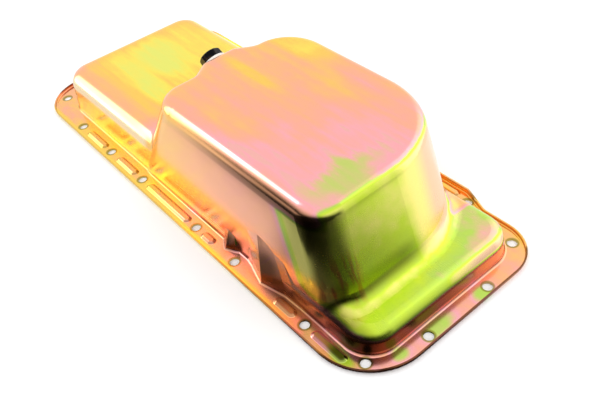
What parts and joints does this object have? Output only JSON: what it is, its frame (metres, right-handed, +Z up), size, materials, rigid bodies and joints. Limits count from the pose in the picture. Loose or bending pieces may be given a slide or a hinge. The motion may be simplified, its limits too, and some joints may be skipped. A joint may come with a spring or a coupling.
{
  "type": "engine oil pan",
  "caption": "Pressed steel engine oil pan with a shallow tray, a deep sump, a lipped gasket flange with beads between the bolts, and a hex drain plug on a bulged seat.",
  "frame": {"origin": "middle of the rectangle round the flange, on the gasket face", "axes": "+X along the pan from the shallow tray to the deep sump, +Y across it away from the folded wall, +Z up from the gasket face, so the pan stands upside down"},
  "size_m": [0.577, 0.237, 0.1152],
  "materials": {
    "plated_steel": "bright yellow passivated zinc plate with a pink and green bloom",
    "nut_steel": "plated with the pan",
    "black_steel": "satin black",
    "white_plastic": "satin white"
  },
  "bodies": {
    "pan": {"oil_pan": "plated_steel", "drain_nut": "nut_steel"},
    "washer": {"drain_plug_washer": "white_plastic"},
    "plug": {"drain_plug": "black_steel"}
  },
  "joints": [
    {"name": "plug_travel", "type": "slide", "parent": "pan", "child": "washer", "axis": [-0.8387, 0, 0.5446], "range_m": [0, 0.0091]},
    {"name": "plug_turn", "type": "hinge", "parent": "washer", "child": "plug", "pos_m": [-0.04486, -0.0025, 0.09899], "axis": [-0.8387, 0, 0.5446], "range_deg": [0, 2160]}
  ],
  "couplings": [
    {"joint": "plug_travel", "follows": "plug_turn", "m_per_rad": 0.00023873}
  ]
}
